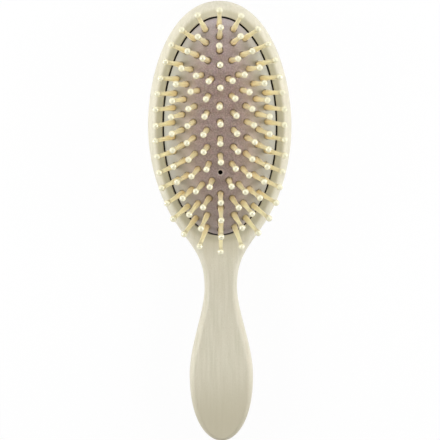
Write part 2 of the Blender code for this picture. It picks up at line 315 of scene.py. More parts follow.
def ranged(tree, value, low, high, to_low=0.0, to_high=1.0, smooth=False):
    """A value carried from one range to another, and kept inside it."""
    sockets = {"Value": value, "From Min": low, "From Max": high, "To Min": to_low, "To Max": to_high}
    kind = "SMOOTHSTEP" if smooth else "LINEAR"
    return add(tree, "ShaderNodeMapRange", sockets, interpolation_type=kind).outputs["Result"]


def linear(level):
    """A screen's level, from 0 to 255, as the linear value that a shader takes."""
    share = level / 255
    if share <= 0.04045:
        return share / 12.92
    return ((share + 0.055) / 1.055) ** 2.4


def colour(levels):
    """A screen's red, green and blue as a linear colour with full alpha."""
    return (*[linear(level) for level in levels], 1.0)


def tinted(tree, share, under, over):
    """One colour over another by a share. Each is a socket, or levels as a screen shows them."""
    sockets = {0: share}
    for slot, given in ((6, under), (7, over)):
        sockets[slot] = given if isinstance(given, bpy.types.NodeSocket) else colour(given)
    return add(tree, "ShaderNodeMix", sockets, data_type="RGBA").outputs[2]


def grain(tree, place, stretch, detail=3.0, roughness=0.55, offset=None):
    """Noise in a place's own coordinates, stretched by the lengths of its grains in metres."""
    scale = Vector([1 / length for length in stretch])
    sockets = {"Vector": place, "Scale": scale}
    if offset is not None:
        sockets["Location"] = offset
    mapped = add(tree, "ShaderNodeMapping", sockets).outputs["Vector"]
    sockets = {"Vector": mapped, "Scale": 1.0, "Detail": detail, "Roughness": roughness}
    return add(tree, "ShaderNodeTexNoise", sockets).outputs["Fac"]


def new_material(name, roughness):
    """An empty material: its tree, its shader, and the place on the object."""
    made = bpy.data.materials.new(name)
    made.use_nodes = True
    tree = made.node_tree
    shader = tree.nodes["Principled BSDF"]
    shader.inputs["Roughness"].default_value = roughness
    place = add(tree, "ShaderNodeTexCoord").outputs["Object"]
    return made, tree, shader, place


def bumped(tree, shader, height, distance, strength=1.0):
    """Gives a shader fine relief from a height."""
    sockets = {"Height": height, "Distance": distance, "Strength": strength}
    bump = add(tree, "ShaderNodeBump", sockets)
    tree.links.new(bump.outputs["Normal"], shader.inputs["Normal"])


# Finishes


def from_recess(tree, place):
    """How far out from the recess's oval edge a place is, in metres."""
    shares = (1 / OPENING_HALF_WIDTH, 1 / OPENING_HALF_LENGTH, 0)
    middle = (0, -OPENING_Y / OPENING_HALF_LENGTH, 0)
    unit = add(tree, "ShaderNodeMapping", {"Vector": place, "Location": middle, "Scale": shares})
    slope = add(tree, "ShaderNodeVectorMath", {0: unit.outputs[0], 1: shares}, operation="MULTIPLY")
    reach, steepness = [
        add(tree, "ShaderNodeVectorMath", {0: given.outputs[0]}, operation="LENGTH").outputs["Value"]
        for given in (unit, slope)
    ]
    excess = calculated(tree, "MULTIPLY", calculated(tree, "SUBTRACT", reach, 1.0), reach)
    return calculated(tree, "DIVIDE", excess, steepness)


def fibre_wood():
    """Pale wood fibre pressed to shape: matt, with fine fibres and faint lengthwise bands, painted shade
    towards the butt, round the recess and inside it, and a painted highlight on its lip.
    """
    made, tree, shader, place = new_material("pale_fibre_wood", 0.62)
    bands = grain(tree, place, WOOD_BANDS, detail=4.0)
    fibres = grain(tree, place, WOOD_FIBRES, detail=2.0, roughness=0.7)
    specks = grain(tree, place, WOOD_SPECKS, detail=2.0)
    clouds = grain(tree, place, WOOD_CLOUDS, detail=2.0)
    tone = tinted(tree, ranged(tree, bands, 0.35, 0.65), WOOD_DULL, WOOD_PALE)
    tone = tinted(tree, ranged(tree, clouds, 0.3, 0.7, 0.0, 0.4), tone, WOOD_CLOUD)
    tone = tinted(tree, ranged(tree, fibres, 0.54, 0.72, 0.0, 0.5), tone, WOOD_FIBRE)
    tone = tinted(tree, ranged(tree, specks, 0.57, 0.75, 0.0, 0.5), tone, WOOD_SPECK)
    x, y, _ = add(tree, "ShaderNodeSeparateXYZ", {0: place}).outputs
    across = calculated(tree, "ABSOLUTE", x)
    outwards = from_recess(tree, place)
    butt_y = -BODY_LENGTH / 2
    # Painted shade: the grip darkens towards the butt, where less light falls
    butt_shade = ranged(tree, y, butt_y + BUTT_SHADE_START_FROM_BUTT, butt_y + BUTT_SHADE_DARKEST_FROM_BUTT, 0.0, 0.76, True)
    tone = tinted(tree, butt_shade, tone, WOOD_BUTT_SHADE)
    below = ranged(tree, y, OPENING_Y, OPENING_Y - OPENING_HALF_LENGTH, 0.0, 0.75)
    near = ranged(tree, outwards, 0.0, THROAT_TONE_END, 1.0, 0.0)
    middle = ranged(tree, across, 0.2 * OPENING_HALF_WIDTH, 0.5 * OPENING_HALF_WIDTH, 1.0, 0.0)
    throat = calculated(tree, "MULTIPLY", calculated(tree, "MULTIPLY", below, near), middle)
    tone = tinted(tree, throat, tone, WOOD_BELOW_RECESS)
    # Painted shade on the flat round the recess, where the pins and the dome keep light off; strongest at
    # its sides
    beside = ranged(tree, across, 0.25 * OPENING_HALF_WIDTH, 0.85 * OPENING_HALF_WIDTH, 0.65)
    rim = ranged(tree, outwards, RIM_SHADE_START, RIM_SHADE_END, 0.75, 0.0, True)
    tone = tinted(tree, calculated(tree, "MULTIPLY", rim, beside), tone, WOOD_RIM_PAINTED_SHADE)
    depth = add(tree, "ShaderNodeAttribute", attribute_name="depth").outputs["Fac"]
    # Painted highlight along the lip's round, where it catches the light
    tone = tinted(tree, ranged(tree, depth, 0.0, 0.5 * LIP_SHARE, 0.0, 0.6), tone, LIP_PAINTED_HIGHLIGHT)
    # Painted shade on the walls and groove of the recess, where little light reaches
    tone = tinted(tree, ranged(tree, depth, LIP_SHARE, 1.0), tone, RECESS_PAINTED_SHADE)
    tree.links.new(tone, shader.inputs["Base Color"])
    shader.inputs["Coat Weight"].default_value = 0.2
    shader.inputs["Coat Roughness"].default_value = 0.35
    shader.inputs["Sheen Weight"].default_value = 0.12
    shader.inputs["Sheen Roughness"].default_value = 0.4
    relief = calculated(tree, "ADD", calculated(tree, "MULTIPLY", bands, 0.5), fibres)
    bumped(tree, shader, relief, WOOD_RELIEF, 0.5)
    return made


def rubber():
    """Mauve-grey rubber: satin and mottled, with painted light and sheen on its sides, duller at its crown
    end, and painted shade at its low end and at the pins.
    """
    made, tree, shader, place = new_material("grey_rubber", 0.5)
    mottle = grain(tree, place, RUBBER_MOTTLE, detail=4.0, roughness=0.65)
    powder = grain(tree, place, RUBBER_POWDER, detail=2.0)
    specks = grain(tree, place, RUBBER_SPECKS, detail=2.0, roughness=0.6)
    edge = add(tree, "ShaderNodeAttribute", attribute_name="edge_share").outputs["Fac"]
    contact = add(tree, "ShaderNodeAttribute", attribute_name="contact").outputs["Fac"]
    tone = tinted(tree, ranged(tree, mottle, 0.35, 0.65), RUBBER_MAUVE, RUBBER_GREY)
    tone = tinted(tree, ranged(tree, powder, 0.45, 0.75, 0.0, 0.35), tone, RUBBER_POWDERED)
    tone = tinted(tree, ranged(tree, specks, 0.5, 0.62, 0.0, 0.5), tone, RUBBER_DARK_SPECK)
    tone = tinted(tree, ranged(tree, specks, 0.5, 0.38, 0.0, 0.5), tone, RUBBER_PALE_SPECK)
    x, y, _ = add(tree, "ShaderNodeSeparateXYZ", {0: place}).outputs
    across = calculated(tree, "ABSOLUTE", x)
    # Painted light and sheen on the sloping sides, where the side lamps reflect; weaker towards the middle
    beside = ranged(tree, across, 0.1 * CUSHION_HALF_WIDTH, 0.6 * CUSHION_HALF_WIDTH, 0.2)
    slope = ranged(tree, edge, 0.2, 0.6, 0.0, 0.75, True)
    slope = calculated(tree, "MULTIPLY", slope, ranged(tree, beside, 0.2, 1.0))
    tone = tinted(tree, slope, tone, RUBBER_SIDE_LIGHT)
    side_sheen = ranged(tree, edge, 0.45, 0.92, 0.0, 0.9, True)
    tone = tinted(tree, calculated(tree, "MULTIPLY", side_sheen, beside), tone, RUBBER_SIDE_SHEEN)
    # Painted shade at the low end, where the dome falls away from the light, and a duller tone at the crown
    # end
    low = OPENING_Y - CUSHION_HALF_LENGTH
    high = OPENING_Y + CUSHION_HALF_LENGTH
    tone = tinted(tree, ranged(tree, y, OPENING_Y, low, 0.0, 0.62), tone, RUBBER_LOWER_SHADE)
    high_from = OPENING_Y + 0.5 * CUSHION_HALF_LENGTH
    tone = tinted(tree, ranged(tree, y, high_from, high, 0.0, 0.6), tone, RUBBER_HIGH_END)
    tone = tinted(tree, ranged(tree, contact, 0.0, -1.0, 0.0, 0.75), tone, RUBBER_VENT_LIP)
    tone = tinted(tree, ranged(tree, contact, 0.0, 1.0), tone, RUBBER_SHADED)
    tree.links.new(tone, shader.inputs["Base Color"])
    bumped(tree, shader, powder, RUBBER_RELIEF, 0.4)
    return made


def waxed_wood():
    """Pale waxed wood, each pin a little different: tan at the foot, partly its own tone and partly painted
    shade, and a duller cream on the ball, painted shade on its top.
    """
    made, tree, shader, _ = new_material("waxed_pale_wood", 0.34)
    along = add(tree, "ShaderNodeAttribute", attribute_name="along").outputs["Fac"]
    own = add(tree, "ShaderNodeAttribute", attribute_name="own_tone").outputs["Fac"]
    turned = add(tree, "ShaderNodeAttribute", attribute_name="turned_place").outputs["Vector"]
    shift = calculated(tree, "MULTIPLY", own, PIN_VEIN_SHIFT)
    veins = grain(tree, turned, PIN_VEINS, detail=3.0, offset=shift)
    # The tan foot is partly the wood's own tone and partly painted shade where the rubber closes round it
    foot = tinted(tree, own, PIN_FOOT_TAN, PIN_FOOT_CREAM)
    shank = tinted(tree, own, PIN_SHANK_CREAM, PIN_SHANK_PALE)
    tone = tinted(tree, ranged(tree, along, 0.0, 0.5), foot, shank)
    tone = tinted(tree, ranged(tree, veins, 0.5, 0.8, 0.0, 0.3), tone, PIN_VEIN)
    # The ball's duller cream is painted shade on its top
    tone = tinted(tree, ranged(tree, along, 0.6, 0.98), tone, BALL_PAINTED_SHADE)
    tree.links.new(tone, shader.inputs["Base Color"])
    tree.links.new(ranged(tree, along, 0.8, 0.95, 0.3, 1.0), shader.inputs["Coat Weight"])
    shader.inputs["Coat Roughness"].default_value = 0.17
    shader.inputs["Coat IOR"].default_value = 1.9
    shader.inputs["Sheen Weight"].default_value = 0.55
    shader.inputs["Sheen Roughness"].default_value = 0.4
    shader.inputs["Sheen Tint"].default_value = colour(PIN_SHEEN)
    bumped(tree, shader, veins, PIN_RELIEF, 0.4)
    return made


# Meshes


def as_piece(name, builder, finish, sharp_degrees=40):
    """Turns a bmesh into a smooth-shaded object of the scene, faces outwards."""
    bmesh.ops.recalc_face_normals(builder, faces=builder.faces)
    mesh = bpy.data.meshes.new(name)
    builder.to_mesh(mesh)
    builder.free()
    mesh.shade_smooth()
    mesh.set_sharp_from_angle(angle=math.radians(sharp_degrees))
    mesh.materials.append(finish)
    piece = bpy.data.objects.new(name, mesh)
    bpy.context.scene.collection.objects.link(piece)
    return piece


def bridge(builder, lower, upper):
    """Faces between two closed loops of as many points."""
    count = len(lower)
    for step in range(count):
        after = (step + 1) % count
        builder.faces.new((lower[step], lower[after], upper[after], upper[step]))


def loop_edges(builder, loop):
    """The edges of a closed loop of points, made where they are missing."""
    pairs = zip(loop, [*loop[1:], loop[0]])
    return [builder.edges.get(pair) or builder.edges.new(pair) for pair in pairs]


def flat_fill(builder, *loops):
    """Fills the plane between an outer loop and the loops inside it."""
    edges = [edge for loop in loops for edge in loop_edges(builder, loop)]
    bmesh.ops.triangle_fill(builder, use_beauty=True, use_dissolve=False, edges=edges)


# Body


def outline_knots():
    """Right-hand knots from crown to butt: place, pull before and pull after."""
    crown = Vector((0, CROWN_Y))
    widest = Vector((HEAD_WIDTH / 2, CROWN_Y - HEAD_WIDEST_FROM_CROWN))
    shoulder = Vector((SHOULDER_WIDTH / 2, CROWN_Y - SHOULDER_FROM_CROWN))
    neck = Vector((NECK_WIDTH / 2, CROWN_Y - NECK_FROM_CROWN))
    grip = Vector((GRIP_WIDTH / 2, GRIP_WIDEST_FROM_BUTT - CROWN_Y))
    butt = Vector((0, -CROWN_Y))
    down = Vector((0, -1))
    across = Vector((1, 0))
    inward = Vector((-math.sin(SHOULDER_SLOPE), -math.cos(SHOULDER_SLOPE)))
    to_shoulder = widest.y - shoulder.y
    to_neck = shoulder.y - neck.y
    to_grip = neck.y - grip.y
    return (
        (crown, None, crown + across * widest.x * CROWN_PULL_SHARE),
        (
            widest,
            widest - down * HEAD_WIDEST_FROM_CROWN * WIDEST_UP_PULL_SHARE,
            widest + down * to_shoulder * WIDEST_DOWN_PULL_SHARE,
        ),
        (
            shoulder,
            shoulder - inward * to_shoulder * SHOULDER_UP_PULL_SHARE,
            shoulder + inward * to_neck * SHOULDER_DOWN_PULL_SHARE,
        ),
        (
            neck,
            neck - down * to_neck * NECK_UP_PULL_SHARE,
            neck + down * to_grip * NECK_DOWN_PULL_SHARE,
        ),
        (
            grip,
            grip - down * to_grip * GRIP_UP_PULL_SHARE,
            grip + down * GRIP_WIDEST_FROM_BUTT * GRIP_DOWN_PULL_SHARE,
        ),
        (butt, butt + across * grip.x * BUTT_PULL_SHARE, None),
    )


def body_outline():
    """The closed outline, clockwise from the crown, as places and outward normals."""
    knots = outline_knots()
    right = []
    for (start, _, leave), (end, arrive, _) in zip(knots, knots[1:]):
        steps = OUTLINE_STEPS + 1
        points = interpolate_bezier(start.to_3d(), leave.to_3d(), arrive.to_3d(), end.to_3d(), steps)
        right += [point.to_2d() for point in points[:-1]]
    butt = knots[-1][0]
    left = [Vector((-point.x, point.y)) for point in reversed(right[1:])]
    places = [*right, butt, *left]
    normals = []
    for index, _ in enumerate(places):
        along = places[(index + 1) % len(places)] - places[index - 1]
        normals.append(Vector((-along.y, along.x)).normalized())
    return places, normals


def edge_round(y):
    """How far in from the outline the flat faces begin, at this place along the body."""
    head = RIM_WIDTH * HEAD_EDGE_SHARE
    grip = NECK_WIDTH / 2 * GRIP_EDGE_SHARE
    top = OPENING_Y - OPENING_HALF_LENGTH
    bottom = CROWN_Y - NECK_FROM_CROWN
    share = min(max((y - bottom) / (top - bottom), 0), 1)
    share = share * share * (3 - 2 * share)
    return grip + (head - grip) * share


def oval(builder, half_width, ridge_half_length, z):
    """A ring of points on an ellipse that is as much longer than wide as the ridge is long."""
    ring = []
    for step in range(OVAL_STEPS):
        turn = math.tau * step / OVAL_STEPS
        x = half_width * math.sin(turn)
        y = (half_width + ridge_half_length) * math.cos(turn)
        ring.append(builder.verts.new((x, OPENING_Y + y, z)))
    return ring


def recess_profile():
    """Half width, height and depth share of the recess, from the flat front down to its floor."""
    top = BODY_THICKNESS
    steps = [(OPENING_HALF_WIDTH + LIP_ROUND + SUPPORT_WIDTH, top, 0.0)]
    for step in range(LIP_STEPS + 1):
        turn = math.pi / 2 * step / LIP_STEPS
        half_width = OPENING_HALF_WIDTH + LIP_ROUND * (1 - math.sin(turn))
        steps.append((half_width, top - LIP_ROUND * (1 - math.cos(turn)), LIP_SHARE * step / LIP_STEPS))
    groove = FLANGE_HALF_WIDTH + SEAT_CLEARANCE
    steps += [
        (OPENING_HALF_WIDTH, top - 2 * LIP_ROUND, 1.0),
        (OPENING_HALF_WIDTH, GROOVE_TOP, 1.0),
        (groove, GROOVE_TOP, 1.0),
        (groove, GROOVE_BOTTOM, 1.0),
        (OPENING_HALF_WIDTH, GROOVE_BOTTOM, 1.0),
        (OPENING_HALF_WIDTH, BACK_WALL, 1.0),
    ]
    return steps


def make_body(finish):
    """Head and handle in one piece, with rounded edges and the undercut recess."""
    builder = bmesh.new()
    depth = builder.verts.layers.float.new("depth")
    places, normals = body_outline()
    half = BODY_THICKNESS / 2

    def ring(turn, further_in):
        made = []
        for place, normal in zip(places, normals):
            inset = edge_round(place.y) * (1 - math.cos(turn)) + further_in
            spot = place - normal * inset
            made.append(builder.verts.new((spot.x, spot.y, half + half * math.sin(turn))))
        return made

    turns = [math.pi * (step / EDGE_STEPS - 1 / 2) for step in range(EDGE_STEPS + 1)]
    rings = [ring(turns[0], SUPPORT_WIDTH)]
    rings += [ring(turn, 0) for turn in turns]
    rings.append(ring(turns[-1], SUPPORT_WIDTH))
    ridge = OPENING_HALF_LENGTH - OPENING_HALF_WIDTH
    recess = []
    for half_width, z, share in recess_profile():
        loop = oval(builder, half_width, ridge, z)
        recess.append(loop)
        for point in loop:
            point[depth] = share
    for loops in (rings, recess):
        for lower, upper in zip(loops, loops[1:]):
            bridge(builder, lower, upper)
    flat_fill(builder, rings[0])
    flat_fill(builder, rings[-1], recess[0])
    flat_fill(builder, recess[-1])
    return as_piece("pressed_body", builder, finish)


# Cushion


def level_half_width(x, y):
    """Half width of the oval through a place, measured from the cushion's centre."""
    low = 0.0
    high = CUSHION_HALF_WIDTH
    for _ in range(HALVINGS):
        middle = (low + high) / 2
        reach = (x / middle) ** 2 + (y / (middle + RIDGE_HALF_LENGTH)) ** 2
        if reach > 1:
            low = middle
        else:
            high = middle
    return high


def dome_height(half_width):
    """Height of the dome over the rim, on the oval of this half width."""
    share = min(half_width / CUSHION_HALF_WIDTH, 1)
    return CROWN_HEIGHT * math.sqrt(1 - share * share)


def on_dome(spot, way):
    """The place where a line through a spot, along a way, meets the dome."""
    for _ in range(SETTLING_STEPS):
        level = dome_height(level_half_width(spot.x, spot.y - OPENING_Y))
        spot = spot + way * ((BODY_THICKNESS + level - spot.z) / way.z)
    return spot


def dome_sheet(builder, half_width, height):
    """One side of the membrane, as rings of points from the rim up to the ridge line."""
    rings = []
    for step in range(DOME_STEPS):
        turn = math.pi / 2 * step / DOME_STEPS
        level = BODY_THICKNESS + height * math.sin(turn)
        rings.append(oval(builder, half_width * math.cos(turn), RIDGE_HALF_LENGTH, level))
    ridge = []
    for step in range(OVAL_STEPS):
        twin = OVAL_STEPS - step
        if twin < step:
            ridge.append(ridge[twin])
            continue
        y = RIDGE_HALF_LENGTH * math.cos(math.tau * step / OVAL_STEPS)
        ridge.append(builder.verts.new((0, OPENING_Y + y, BODY_THICKNESS + height)))
    rings.append(ridge)
    return rings


def closed_loop(edges):
    """The points of a ring of edges, in order."""
    beside = {}
    for edge in edges:
        for here, there in (edge.verts, reversed(edge.verts)):
            beside.setdefault(here, []).append(there)
    loop = [edges[0].verts[0]]
    while True:
        last = loop[-1]
        before = loop[-2] if len(loop) > 1 else None
        ahead = [point for point in beside[last] if point is not before]
        if ahead[0] is loop[0] and len(loop) > 2:
            return loop
        loop.append(ahead[0])


def faces_met(builder, foot, way, clear, inner_of):
    """The tagged outside faces that a round cut meets, on either side of the membrane."""
    met = set()
    for face in builder.faces:
        if face.tag and (face.verts[0].co - foot).length < HOLE_RADII_LOOKED_AT * clear:
            ends = [end for point in face.verts for end in (point, inner_of[point])]
            if any((end.co - foot).cross(way).length < clear for end in ends):
                met.add(face)
    return met


def border_of(faces):
    """The loop of points round a patch of faces."""
    edges = {edge for face in faces for edge in face.edges}
    border = [edge for edge in edges if len([face for face in edge.link_faces if face in faces]) == 1]
    border.sort(key=lambda edge: (edge.verts[0].index, edge.verts[1].index))
    return closed_loop(border)


def inner_twins(faces, inner_of):
    """The faces on the inside of the membrane that lie under faces of its outside."""
    below = {frozenset(inner_of[point] for point in face.verts) for face in faces}
    corners = {point for twin in below for point in twin}
    return {face for point in corners for face in point.link_faces if frozenset(face.verts) in below}


def cut_hole(builder, foot, way, radius, socket, inner_of, contact):
    """Opens the membrane round an axis, with a shaped mouth and a wall through to the inside."""
    clear = radius + socket[0][0] + SOCKET_MARGIN
    lost = faces_met(builder, foot, way, clear, inner_of)
    outer = border_of(lost)
    inner = [inner_of[point] for point in outer]
    lost |= inner_twins(lost, inner_of)
    side = way.orthogonal().normalized()
    up = way.cross(side)
    turns = []
    for point in outer:
        spot = point.co - foot
        turns.append(math.atan2(spot.dot(up), spot.dot(side)))
    loop = outer
    for reach, lift, shade in socket:
        ring = []
        for turn in turns:
            spot = foot + (side * math.cos(turn) + up * math.sin(turn)) * (radius + reach)
            made = builder.verts.new(on_dome(spot, way) + way * lift)
            made[contact] = shade
            ring.append(made)
        bridge(builder, loop, ring)
        loop = ring
    through = []
    # The wall through the membrane takes the full painted shade
    for point in loop:
        made = builder.verts.new(point.co - way * MEMBRANE_THICKNESS)
        made[contact] = 1.0
        through.append(made)
    bridge(builder, loop, through)
    bridge(builder, through, inner)
    return lost


def make_cushion(finish, pins, vent):
    """A domed rubber membrane with a skirt and a flange, pierced for the pins and the vent."""
    builder = bmesh.new()
    contact = builder.verts.layers.float.new("contact")
    edge_share = builder.verts.layers.float.new("edge_share")
    outside = dome_sheet(builder, CUSHION_HALF_WIDTH, CROWN_HEIGHT)
    inside = dome_sheet(
        builder, CUSHION_HALF_WIDTH - MEMBRANE_THICKNESS, CROWN_HEIGHT - MEMBRANE_THICKNESS
    )
    inner_of = {}
    for outer_ring, inner_ring in zip(outside, inside):
        inner_of.update(zip(outer_ring, inner_ring))
    for rings in (outside, inside):
        for lower, upper in zip(rings, rings[1:]):
            bridge(builder, lower, upper)
        if rings is outside:
            for face in builder.faces:
                face.tag = True
    seat = [
        oval(builder, half_width, RIDGE_HALF_LENGTH, z)
        for half_width, z in (
            (CUSHION_HALF_WIDTH, FLANGE_TOP),
            (FLANGE_HALF_WIDTH, FLANGE_TOP),
            (FLANGE_HALF_WIDTH, FLANGE_BOTTOM),
            (CUSHION_HALF_WIDTH - MEMBRANE_THICKNESS, FLANGE_BOTTOM),
        )
    ]
    loops = [outside[0], *seat, inside[0]]
    for lower, upper in zip(loops, loops[1:]):
        bridge(builder, lower, upper)
    builder.verts.index_update()
    builder.faces.ensure_lookup_table()
    lost = set()
    for foot, way, drift in pins:
        radius = SHANK_RADIUS + PIN_HOLE_CLEARANCE + drift
        lost |= cut_hole(builder, foot, way, radius, PIN_SOCKET, inner_of, contact)
    lost |= cut_hole(builder, *vent, VENT_RADIUS, VENT_SOCKET, inner_of, contact)
    bmesh.ops.delete(builder, geom=list(lost), context="FACES")
    for point in builder.verts:
        share = level_half_width(point.co.x, point.co.y - OPENING_Y) / CUSHION_HALF_WIDTH
        point[edge_share] = min(share, 1)
        # Below the lip, the skirt and the flange take the full painted shade of the gap
        if point.co.z < BODY_THICKNESS - LIP_ROUND:
            point[contact] = 1.0
    return as_piece("rubber_cushion", builder, finish, sharp_degrees=60)


# Pins


def body_joint(body):
    """The joint that carries a body."""
    return next(joint for joint in frame["joints"] if joint["child"] == body)


def pins_in(node, outward):
    """Foot and direction of each pin in a node of the frame, read from its solid."""
    corners = frame["nodes"][node].data.vertices
    points = {tuple(round(x, CORNER_DECIMALS) for x in corner.co) for corner in corners}
    points = [Vector(point) for point in sorted(points)]
    height = [point.dot(outward) for point in points]
    top = max(height)
    tips = []
    for level, point in sorted(zip(height, points), key=lambda pair: -pair[0]):
        near_top = level > top - BALL_DIAMETER
        if near_top and all((point - tip).length > 2 * BALL_RADIUS + NECK_RADIUS for tip in tips):
            tips.append(point)
    length = PIN_REACH + BALL_RADIUS
    ring_distance = math.hypot(length - SHANK_STRAIGHT, SHANK_RADIUS)
    found = []
    for tip in tips:
        ring = [p for p in points if abs((p - tip).length - ring_distance) < FOOT_LEDGE / 2]
        centre = sum(ring, Vector()) / len(ring)
        way = (tip - centre).normalized()
        found.append((tip - way * length, way))
    return found


def swayed(way, chance):
    """A way that leans a little at random off the one given."""
    side = way.orthogonal().normalized()
    up = way.cross(side)
    leans = [math.tan(chance.uniform(-PIN_TILT, PIN_TILT)) for _ in range(2)]
    return (way + side * leans[0] + up * leans[1]).normalized()


def press_drift(way, outward, travel):
    """How far a leaning pin moves sideways in its hole when its node is pressed right in."""
    return travel * math.sin(way.angle(outward))


def vent_axis():
    """Place and way of the vent, which takes the place after the last pin of the centre row."""
    nodes = sorted(node for node in frame["nodes"] if node.startswith("centre_pin"))
    (before, before_way), (last, last_way) = [pins_in(node, Vector((0, 0, 1)))[0] for node in nodes[-2:]]
    return last + (last - before), (last_way * 2 - before_way).normalized()


def pins_tree():
    """Geometry nodes that stand a turned pin on each point, over one foot plate."""
    tree = bpy.data.node_groups.new("turned_pins", "GeometryNodeTree")
    socket = tree.interface.new_socket
    socket("Feet", in_out="INPUT", socket_type="NodeSocketGeometry")
    for name in PIN_SIZES:
        socket(name, in_out="INPUT", socket_type="NodeSocketFloat")
    socket("Plate Way", in_out="INPUT", socket_type="NodeSocketVector")
    socket("Seed", in_out="INPUT", socket_type="NodeSocketInt")
    socket("Finish", in_out="INPUT", socket_type="NodeSocketMaterial")
    socket("Pins", in_out="OUTPUT", socket_type="NodeSocketGeometry")
    given = add(tree, "NodeGroupInput").outputs
    pin = turned_pin(tree, given)
    way = add(tree, "GeometryNodeInputNamedAttribute", {"Name": "way"}, data_type="FLOAT_VECTOR")
    stand = add(tree, "FunctionNodeAlignRotationToVector", {"Vector": way.outputs[0]}, axis="Z")
    pins = add(
        tree,
        "GeometryNodeInstanceOnPoints",
        {"Points": given["Feet"], "Instance": pin, "Rotation": stand.outputs[0]},
    )
    chance = {2: 0.0, 3: 1.0, "Seed": given["Seed"]}
    tone = add(tree, "FunctionNodeRandomValue", chance, data_type="FLOAT")
    toned = add(
        tree,
        "GeometryNodeStoreNamedAttribute",
        {"Geometry": pins.outputs[0], "Name": "own_tone", "Value": tone.outputs[1]},
        data_type="FLOAT",
        domain="INSTANCE",
    )
    real = add(tree, "GeometryNodeRealizeInstances", {0: toned.outputs[0]}).outputs[0]
    both = add(tree, "GeometryNodeJoinGeometry")
    tree.links.new(foot_plate(tree, given), both.inputs[0])
    tree.links.new(real, both.inputs[0])
    sockets = {"Geometry": both.outputs[0], "Material": given["Finish"]}
    add(tree, "NodeGroupOutput", {0: add(tree, "GeometryNodeSetMaterial", sockets).outputs[0]})
    return tree


def plate_middle(tree, given):
    """Height of the middle of the foot plate, which lies under the feet."""
    half = calculated(tree, "DIVIDE", given["Plate Thickness"], 2.0)
    return calculated(tree, "MULTIPLY", calculated(tree, "ADD", given["Plate Depth"], half), -1.0)


def turned_pin(tree, given):
    """A shank that narrows to a neck below a ball, swept along Z from inside the foot plate."""
    last = SHANK_STEPS + BALL_STEPS
    index = add(tree, "GeometryNodeInputIndex").outputs[0]
    low = plate_middle(tree, given)
    neck_share = calculated(tree, "DIVIDE", given["Neck Radius"], given["Ball Radius"])
    neck_turn = calculated(tree, "MULTIPLY", calculated(tree, "ARCCOSINE", neck_share), -1.0)
    neck_drop = calculated(tree, "MULTIPLY", calculated(tree, "SINE", neck_turn), given["Ball Radius"])
    neck_z = calculated(tree, "ADD", given["Reach"], neck_drop)
    shank_z = ranged(tree, index, 0.0, float(SHANK_STEPS), low, neck_z)
    taper = (given["Taper Start"], given["Taper End"], given["Shank Radius"], given["Neck Radius"])
    shank_r = ranged(tree, shank_z, *taper, True)
    turn = ranged(tree, index, float(SHANK_STEPS), float(last), neck_turn, math.pi / 2)
    rise = calculated(tree, "MULTIPLY", calculated(tree, "SINE", turn), given["Ball Radius"])
    ball_z = calculated(tree, "ADD", given["Reach"], rise)
    ball_r = calculated(tree, "MULTIPLY", calculated(tree, "COSINE", turn), given["Ball Radius"])
    in_ball = calculated(tree, "GREATER_THAN", index, SHANK_STEPS + 0.5)
    z, r = [
        add(tree, "GeometryNodeSwitch", {0: in_ball, 1: shank, 2: ball}, input_type="FLOAT").outputs[0]
        for shank, ball in ((shank_z, ball_z), (shank_r, ball_r))
    ]
    line = add(tree, "GeometryNodeCurvePrimitiveLine")
    stepped = add(tree, "GeometryNodeResampleCurve", {"Curve": line.outputs[0], "Count": last + 1})
    spot = add(tree, "ShaderNodeCombineXYZ", {2: z}).outputs[0]
    placed = add(tree, "GeometryNodeSetPosition", {"Geometry": stepped.outputs[0], "Position": spot})
    unit = add(tree, "GeometryNodeCurvePrimitiveCircle", {"Resolution": PIN_SIDES, "Radius": 1.0})
    swept = add(
        tree,
        "GeometryNodeCurveToMesh",
        {"Curve": placed.outputs[0], "Profile Curve": unit.outputs[0], "Scale": r, "Fill Caps": True},
    )
    sockets = {"Geometry": swept.outputs[0], "Distance": MERGE_DISTANCE}
    closed = add(tree, "GeometryNodeMergeByDistance", sockets)
    sockets = {"Geometry": closed.outputs[0], "Shade Smooth": True}
    smooth = add(tree, "GeometryNodeSetShadeSmooth", sockets)
    place = add(tree, "GeometryNodeInputPosition").outputs[0]
    marked = add(
        tree,
        "GeometryNodeStoreNamedAttribute",
        {"Geometry": smooth.outputs[0], "Name": "turned_place", "Value": place},
        data_type="FLOAT_VECTOR",
        domain="POINT",
    )
    height = add(tree, "ShaderNodeSeparateXYZ", {0: place}).outputs[2]
    along = calculated(tree, "DIVIDE", height, given["Reach"])
    return add(
        tree,
        "GeometryNodeStoreNamedAttribute",
        {"Geometry": marked.outputs[0], "Name": "along", "Value": along},
        data_type="FLOAT",
        domain="POINT",
    ).outputs[0]


def foot_plate(tree, given):
    """The flat plate under the feet: a hull round a disc at each."""
    sockets = {"Vertices": PIN_SIDES, "Radius": given["Plate Half Width"], "Depth": given["Plate Thickness"]}
    disc = add(tree, "GeometryNodeMeshCylinder", sockets)
    drop = add(tree, "ShaderNodeCombineXYZ", {2: plate_middle(tree, given)})
    sockets = {"Geometry": disc.outputs[0], "Translation": drop.outputs[0]}
    lowered = add(tree, "GeometryNodeTransform", sockets)
    stand = add(tree, "FunctionNodeAlignRotationToVector", {"Vector": given["Plate Way"]}, axis="Z")
    discs = add(
        tree,
        "GeometryNodeInstanceOnPoints",
        {"Points": given["Feet"], "Instance": lowered.outputs[0], "Rotation": stand.outputs[0]},
    )
    real = add(tree, "GeometryNodeRealizeInstances", {0: discs.outputs[0]})
    hull = add(tree, "GeometryNodeConvexHull", {0: real.outputs[0]})
    sockets = {"Geometry": hull.outputs[0], "Shade Smooth": False}
    return add(tree, "GeometryNodeSetShadeSmooth", sockets).outputs[0]


def set_inputs(modifier, values):
    """Sets a modifier's inputs by the names that its tree gives them."""
    for item in modifier.node_group.interface.items_tree:
        if item.name in values:
            modifier[item.identifier] = values[item.name]


